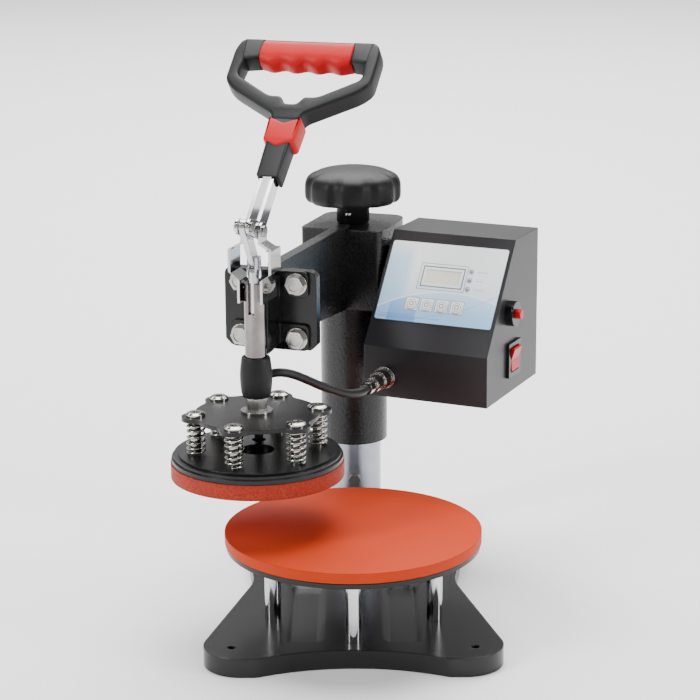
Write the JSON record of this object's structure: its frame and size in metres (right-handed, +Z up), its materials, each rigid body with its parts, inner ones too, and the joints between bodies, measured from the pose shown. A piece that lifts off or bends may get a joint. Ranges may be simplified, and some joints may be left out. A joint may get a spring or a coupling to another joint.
{
  "type": "heat press",
  "caption": "Swing-away bench heat press: round lower pad on a cast base, lever-driven round heated platen, height knob and sloped control box.",
  "frame": {"origin": "on the column's axis at the underside of the base, at the table", "axes": "+X to the right seen from the front, +Y to the rear, +Z up; the lower platen's centre is on -Y"},
  "size_m": [0.298, 0.3781, 0.4534],
  "materials": {
    "cast_black": "gloss black cast enamel",
    "wrinkle_black": "black wrinkle powder coat",
    "box_black": "satin black powder coat",
    "chromed": "bright chrome",
    "nickel": "nickel-plated steel",
    "plain_steel": "machined steel",
    "bronze": "sintered bronze",
    "silicone": "orange silicone, slightly glossy",
    "grip_red": "red soft grip",
    "black_rubber": "matt black rubber",
    "handle_black": "matt black moulding",
    "knob_black": "fine-grained black moulding",
    "overlay": "printed pale blue film",
    "lcd": "grey-green display window",
    "button_white": "smooth pale keys",
    "led_red": "tinted lens",
    "board_green": "green solder mask",
    "copper": "enamelled copper winding",
    "switch_red": "glossy red",
    "switch_black": "glossy black"
  },
  "bodies": {
    "base": {"base_plate": "cast_black", "column_post": "chromed", "post_bolt": "nickel", "support_posts": "chromed", "platen_screws": "plain_steel", "lower_plate": "cast_black", "lower_pad": "silicone"},
    "screw_seat": {"thrust_disc": "plain_steel"},
    "knob": {"height_knob": "knob_black", "adjusting_screw": "plain_steel"},
    "head": {"column_sleeve": "wrinkle_black", "sleeve_bushes": "bronze", "head_bracket": "wrinkle_black", "adjuster_nut": "plain_steel", "arm_web": "wrinkle_black", "mount_plate": "cast_black", "guide_block": "cast_black", "guide_barrel": "chromed", "toggle_bracket": "chromed", "bracket_pins": "nickel", "clamp_bolts": "nickel", "clamp_washers": "nickel", "control_box": "box_black", "back_cover": "box_black", "cover_screws": "nickel", "panel_overlay": "overlay", "display_window": "lcd", "panel_leds": "led_red", "circuit_board": "board_green", "transformer": "copper", "box_mount": "wrinkle_black", "breaker_body": "switch_black", "switch_housing": "switch_black", "power_inlet": "switch_black", "cable_socket": "nickel", "cable_plug": "nickel", "heater_cable": "black_rubber"},
    "button_1": {"button_1": "button_white"},
    "button_2": {"button_2": "button_white"},
    "button_3": {"button_3": "button_white"},
    "button_4": {"button_4": "button_white"},
    "breaker_button": {"breaker_button": "switch_red"},
    "rocker": {"power_rocker": "switch_red"},
    "handle": {"lever_bars": "chromed", "handle_frame": "handle_black", "hand_grip": "grip_red", "handle_collar": "grip_red", "link_rivets": "nickel"},
    "link": {"toggle_link": "chromed"},
    "plunger": {"plunger_rod": "chromed", "plunger_pin": "plain_steel", "rubber_boot": "black_rubber", "lock_nut": "nickel", "flange_washer": "nickel", "spider_plate": "cast_black", "platen_springs": "nickel"},
    "platen": {"shoulder_bolts": "nickel", "cover_disc": "cast_black", "heater_plate": "cast_black", "upper_pad": "silicone"}
  },
  "joints": [
    {"name": "arm_swing", "type": "hinge", "parent": "base", "child": "screw_seat", "pos_m": [0, 0, 0.232], "axis": [0, 0, 1], "range_deg": [-71.4, 108.6]},
    {"name": "head_height", "type": "slide", "parent": "screw_seat", "child": "head", "axis": [0, 0, 1], "range_m": [-0.009, 0]},
    {"name": "knob_turn", "type": "hinge", "parent": "screw_seat", "child": "knob", "pos_m": [0, 0, 0.3], "axis": [0, 0, 1], "range_deg": [0, 1620.5]},
    {"name": "handle_swing", "type": "hinge", "parent": "head", "child": "handle", "pos_m": [-0.074, -0.21988, 0.3253], "axis": [0.9478, -0.319, 0], "range_deg": [0, 110]},
    {"name": "plunger_slide", "type": "slide", "parent": "head", "child": "plunger", "axis": [0, 0, 1], "range_m": [-0.03199, 0]},
    {"name": "link_swing", "type": "hinge", "parent": "plunger", "child": "link", "pos_m": [-0.074, -0.21988, 0.3003], "axis": [0.9478, -0.319, 0], "range_deg": [-30.6, 0]},
    {"name": "platen_float", "type": "slide", "parent": "plunger", "child": "platen", "axis": [0, 0, 1], "range_m": [0, 0.004], "stiffness_N_per_m": 6000, "springref_m": -0.004, "deforming": ["platen_springs"]},
    {"name": "breaker_press", "type": "slide", "parent": "head", "child": "breaker_button", "axis": [-0.9114, 0.4115, 0], "range_m": [0, 0.002], "stiffness_N_per_m": 300, "springref_m": -0.002},
    {"name": "rocker_tilt", "type": "hinge", "parent": "head", "child": "rocker", "pos_m": [0.13242, -0.07658, 0.1856], "axis": [0.4115, 0.9114, 0], "range_deg": [-12, 0]},
    {"name": "button_1_press", "type": "slide", "parent": "head", "child": "button_1", "axis": [0.3304, 0.7317, -0.5962], "range_m": [0, 0.0008], "stiffness_N_per_m": 400, "springref_m": -0.001},
    {"name": "button_2_press", "type": "slide", "parent": "head", "child": "button_2", "axis": [0.3304, 0.7317, -0.5962], "range_m": [0, 0.0008], "stiffness_N_per_m": 400, "springref_m": -0.001},
    {"name": "button_3_press", "type": "slide", "parent": "head", "child": "button_3", "axis": [0.3304, 0.7317, -0.5962], "range_m": [0, 0.0008], "stiffness_N_per_m": 400, "springref_m": -0.001},
    {"name": "button_4_press", "type": "slide", "parent": "head", "child": "button_4", "axis": [0.3304, 0.7317, -0.5962], "range_m": [0, 0.0008], "stiffness_N_per_m": 400, "springref_m": -0.001}
  ],
  "couplings": [
    {"joint": "knob_turn", "follows": "head_height", "rad_per_m": -3141.6},
    {"joint": "plunger_slide", "follows": "handle_swing", "m_per_rad": -0.016652},
    {"joint": "link_swing", "follows": "handle_swing", "ratio": -0.27773}
  ]
}
